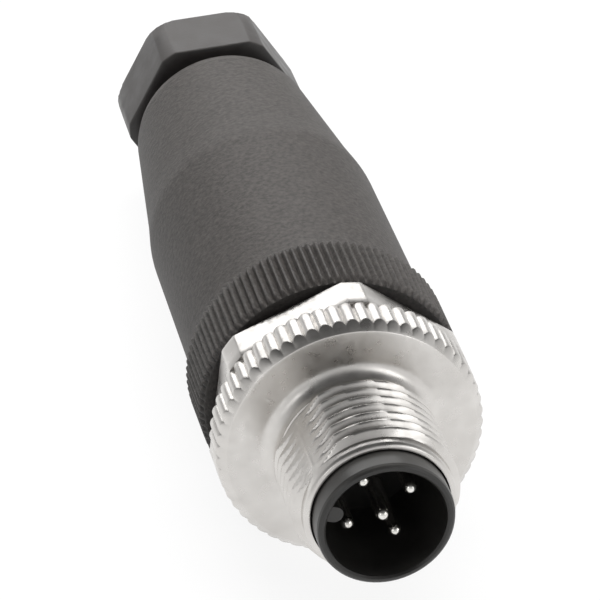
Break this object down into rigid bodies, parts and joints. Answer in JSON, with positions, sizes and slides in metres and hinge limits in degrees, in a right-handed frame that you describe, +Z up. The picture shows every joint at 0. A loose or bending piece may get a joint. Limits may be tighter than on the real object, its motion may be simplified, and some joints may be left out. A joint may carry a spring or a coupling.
{
  "type": "circular connector",
  "caption": "Straight male M12 cable connector: a knurled threaded coupling with a hexagon turns on a keyed insert with round pins, in front of a tapered grip body and a hexagonal gland nut.",
  "frame": {"origin": "on the connector's axis, in the flange face of the coupling that the M12 thread stands on", "axes": "Y runs along the connector's axis, with the pins towards -Y and the cable leaving at +Y; +Z is up and one flat of the gland nut faces -Z; +X is to the right when looking along +Y"},
  "size_m": [0.0192, 0.0622, 0.0192],
  "materials": {
    "nickel_plated_casting": "nickel-plated zinc die casting, satin, with bright edges",
    "contact_silver": "turned brass, nickel and gold flashed, pale and bright",
    "spring_steel": "bright spring steel",
    "screw_steel": "zinc-plated steel",
    "insert_black": "black moulded polymer, half gloss",
    "grained_black": "black glass-filled nylon, matte with a fine moulded grain",
    "nut_black": "black nylon, smooth satin",
    "natural_nylon": "uncoloured nylon",
    "seal_rubber": "black nitrile rubber"
  },
  "bodies": {
    "housing": {"contact_carrier": "insert_black", "carrier_o_ring": "seal_rubber", "contact_pin_1": "contact_silver", "contact_pin_2": "contact_silver", "contact_pin_3": "contact_silver", "contact_pin_4": "contact_silver", "contact_pin_5": "contact_silver", "grip_sleeve": "grained_black", "spacer_sleeve": "natural_nylon", "cable_seal": "seal_rubber", "clamp_cage": "natural_nylon"},
    "coupling": {"coupling_screw": "nickel_plated_casting", "slip_washer": "natural_nylon", "retaining_ring": "spring_steel"},
    "gland_ring": {"gland_slip_ring": "natural_nylon"},
    "nut": {"gland_nut": "nut_black"},
    "screw_1": {"terminal_screw_1": "screw_steel"},
    "screw_2": {"terminal_screw_2": "screw_steel"},
    "screw_3": {"terminal_screw_3": "screw_steel"},
    "screw_4": {"terminal_screw_4": "screw_steel"},
    "screw_5": {"terminal_screw_5": "screw_steel"}
  },
  "joints": [
    {"name": "coupling_turn", "type": "hinge", "parent": "housing", "child": "coupling", "pos_m": [0, 0, 0], "axis": [0, 1, 0], "continuous": true},
    {"name": "gland_travel", "type": "slide", "parent": "housing", "child": "gland_ring", "axis": [0, 1, 0], "range_m": [-0.0018, 0.004]},
    {"name": "gland_turn", "type": "hinge", "parent": "gland_ring", "child": "nut", "pos_m": [0, 0.045, 0], "axis": [0, 1, 0], "range_deg": [-649, 1441]},
    {"name": "screw_1_turn", "type": "hinge", "parent": "housing", "child": "screw_1", "pos_m": [0.00411, 0.015, 0.00183], "axis": [0.9135, 0, 0.4067], "range_deg": [0, 720]},
    {"name": "screw_2_turn", "type": "hinge", "parent": "housing", "child": "screw_2", "pos_m": [-0.00183, 0.015, 0.00411], "axis": [-0.4067, 0, 0.9135], "range_deg": [0, 720]},
    {"name": "screw_3_turn", "type": "hinge", "parent": "housing", "child": "screw_3", "pos_m": [-0.00411, 0.015, -0.00183], "axis": [-0.9135, 0, -0.4067], "range_deg": [0, 720]},
    {"name": "screw_4_turn", "type": "hinge", "parent": "housing", "child": "screw_4", "pos_m": [0.00183, 0.015, -0.00411], "axis": [0.4067, 0, -0.9135], "range_deg": [0, 720]},
    {"name": "screw_5_turn", "type": "hinge", "parent": "housing", "child": "screw_5", "pos_m": [0.00161, 0.0207, 0.0042], "axis": [0.3584, 0, 0.9336], "range_deg": [0, 720]}
  ],
  "couplings": [
    {"joint": "gland_turn", "follows": "gland_travel", "rad_per_m": 6283.2}
  ]
}
